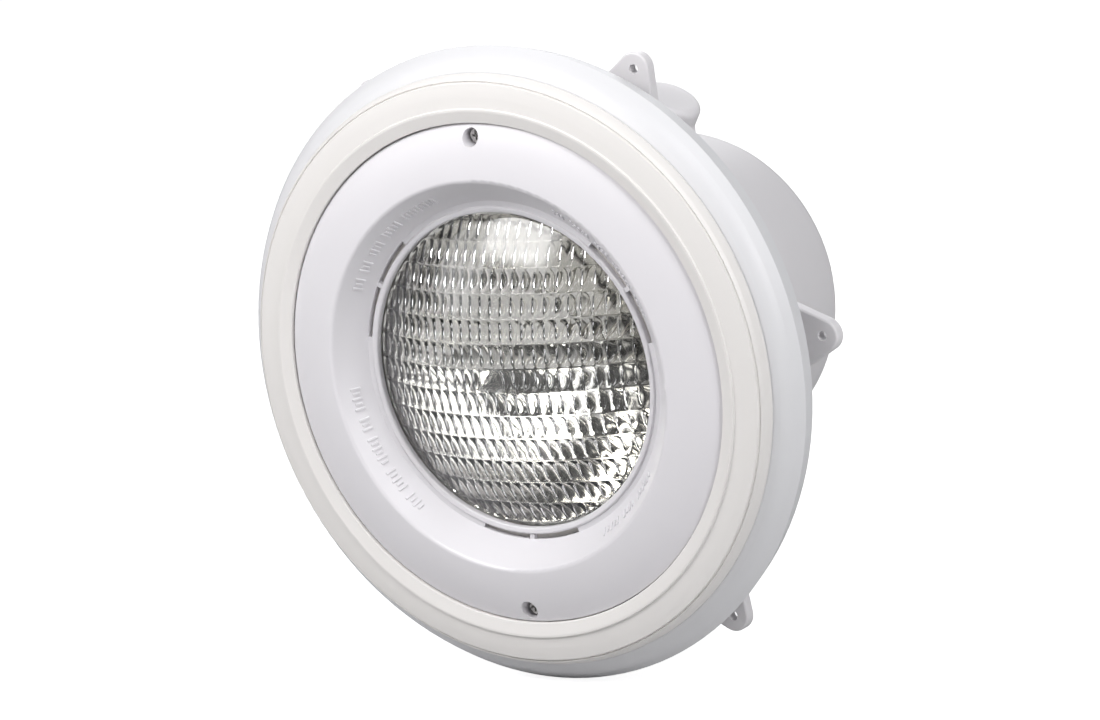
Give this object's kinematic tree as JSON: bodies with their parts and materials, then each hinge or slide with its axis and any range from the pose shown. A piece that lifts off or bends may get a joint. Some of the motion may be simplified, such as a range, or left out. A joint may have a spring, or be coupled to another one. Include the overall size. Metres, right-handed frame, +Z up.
{
  "type": "underwater pool light",
  "caption": "Round underwater pool light: a sealed lamp with domed prismatic glass in a deep wall niche, with a sloping clamp flange, clip-on trim ring, screwed bezel and drilled mounting ears.",
  "frame": {"origin": "on the lamp's axis, at the back face of the six mounting ears", "axes": "+Y runs back into the wall along the niche, the light looks along -Y, and +Z is up"},
  "size_m": [0.3462, 0.2225, 0.3342],
  "materials": {
    "niche_plastic": "satin moulded ABS",
    "flange_plastic": "glossy cool white ABS",
    "bezel_plastic": "satin cool white ABS",
    "trim_plastic": "satin warm white ABS",
    "casing_plastic": "satin moulded ABS",
    "gasket_rubber": "matt EPDM",
    "silicone": "soft silicone",
    "seal_rubber": "matt nitrile",
    "brass": "turned",
    "stainless": "A4 stainless, passivated",
    "lens_glass": "pressed prismatic borosilicate",
    "reflector_mirror": "aluminised inside",
    "lamp_metal": "nickel and tungsten",
    "gland_plastic": "black polyamide"
  },
  "bodies": {
    "niche": {"niche_shell": "niche_plastic", "rear_flange_gasket": "gasket_rubber", "front_flange_gasket": "gasket_rubber", "clamp_flange": "flange_plastic", "flange_screws": "stainless", "flange_inserts": "brass", "bezel_inserts": "brass", "conduit_gland_body": "gland_plastic", "conduit_gland_washer": "seal_rubber", "conduit_gland_seal": "seal_rubber", "conduit_gland_nut": "gland_plastic"},
    "trim": {"trim_ring": "trim_plastic"},
    "lamp_unit": {"bezel": "bezel_plastic", "lens_gasket": "silicone", "lamp_lens": "lens_glass", "lamp_reflector": "reflector_mirror", "filament": "lamp_metal", "filament_posts": "lamp_metal", "lamp_ferrules": "brass", "terminal_screws": "stainless", "casing_gasket": "silicone", "lamp_casing": "casing_plastic", "casing_inserts": "brass", "casing_screws": "stainless", "cable_gland_body": "gland_plastic", "cable_gland_washer": "seal_rubber", "cable_gland_seal": "seal_rubber", "cable_gland_nut": "gland_plastic"},
    "washer_top": {"bezel_washer_top": "stainless"},
    "washer_bottom": {"bezel_washer_bottom": "stainless"},
    "screw_top": {"bezel_screw_top": "stainless"},
    "screw_bottom": {"bezel_screw_bottom": "stainless"}
  },
  "joints": [
    {"name": "trim_pull", "type": "slide", "parent": "niche", "child": "trim", "axis": [0, -1, 0], "range_m": [0, 0.06]},
    {"name": "lamp_pull", "type": "slide", "parent": "niche", "child": "lamp_unit", "axis": [0, -1, 0], "range_m": [0, 0.18]},
    {"name": "screw_top_travel", "type": "slide", "parent": "lamp_unit", "child": "washer_top", "axis": [0, -1, 0], "range_m": [0, 0.0112]},
    {"name": "screw_top_turn", "type": "hinge", "parent": "washer_top", "child": "screw_top", "pos_m": [0, -0.046, 0.124], "axis": [0, 1, 0], "range_deg": [-5040, 0]},
    {"name": "screw_bottom_travel", "type": "slide", "parent": "lamp_unit", "child": "washer_bottom", "axis": [0, -1, 0], "range_m": [0, 0.0112]},
    {"name": "screw_bottom_turn", "type": "hinge", "parent": "washer_bottom", "child": "screw_bottom", "pos_m": [0, -0.046, -0.124], "axis": [0, 1, 0], "range_deg": [-5040, 0]}
  ],
  "couplings": [
    {"joint": "screw_top_turn", "follows": "screw_top_travel", "rad_per_m": -7854},
    {"joint": "screw_bottom_turn", "follows": "screw_bottom_travel", "rad_per_m": -7854}
  ]
}
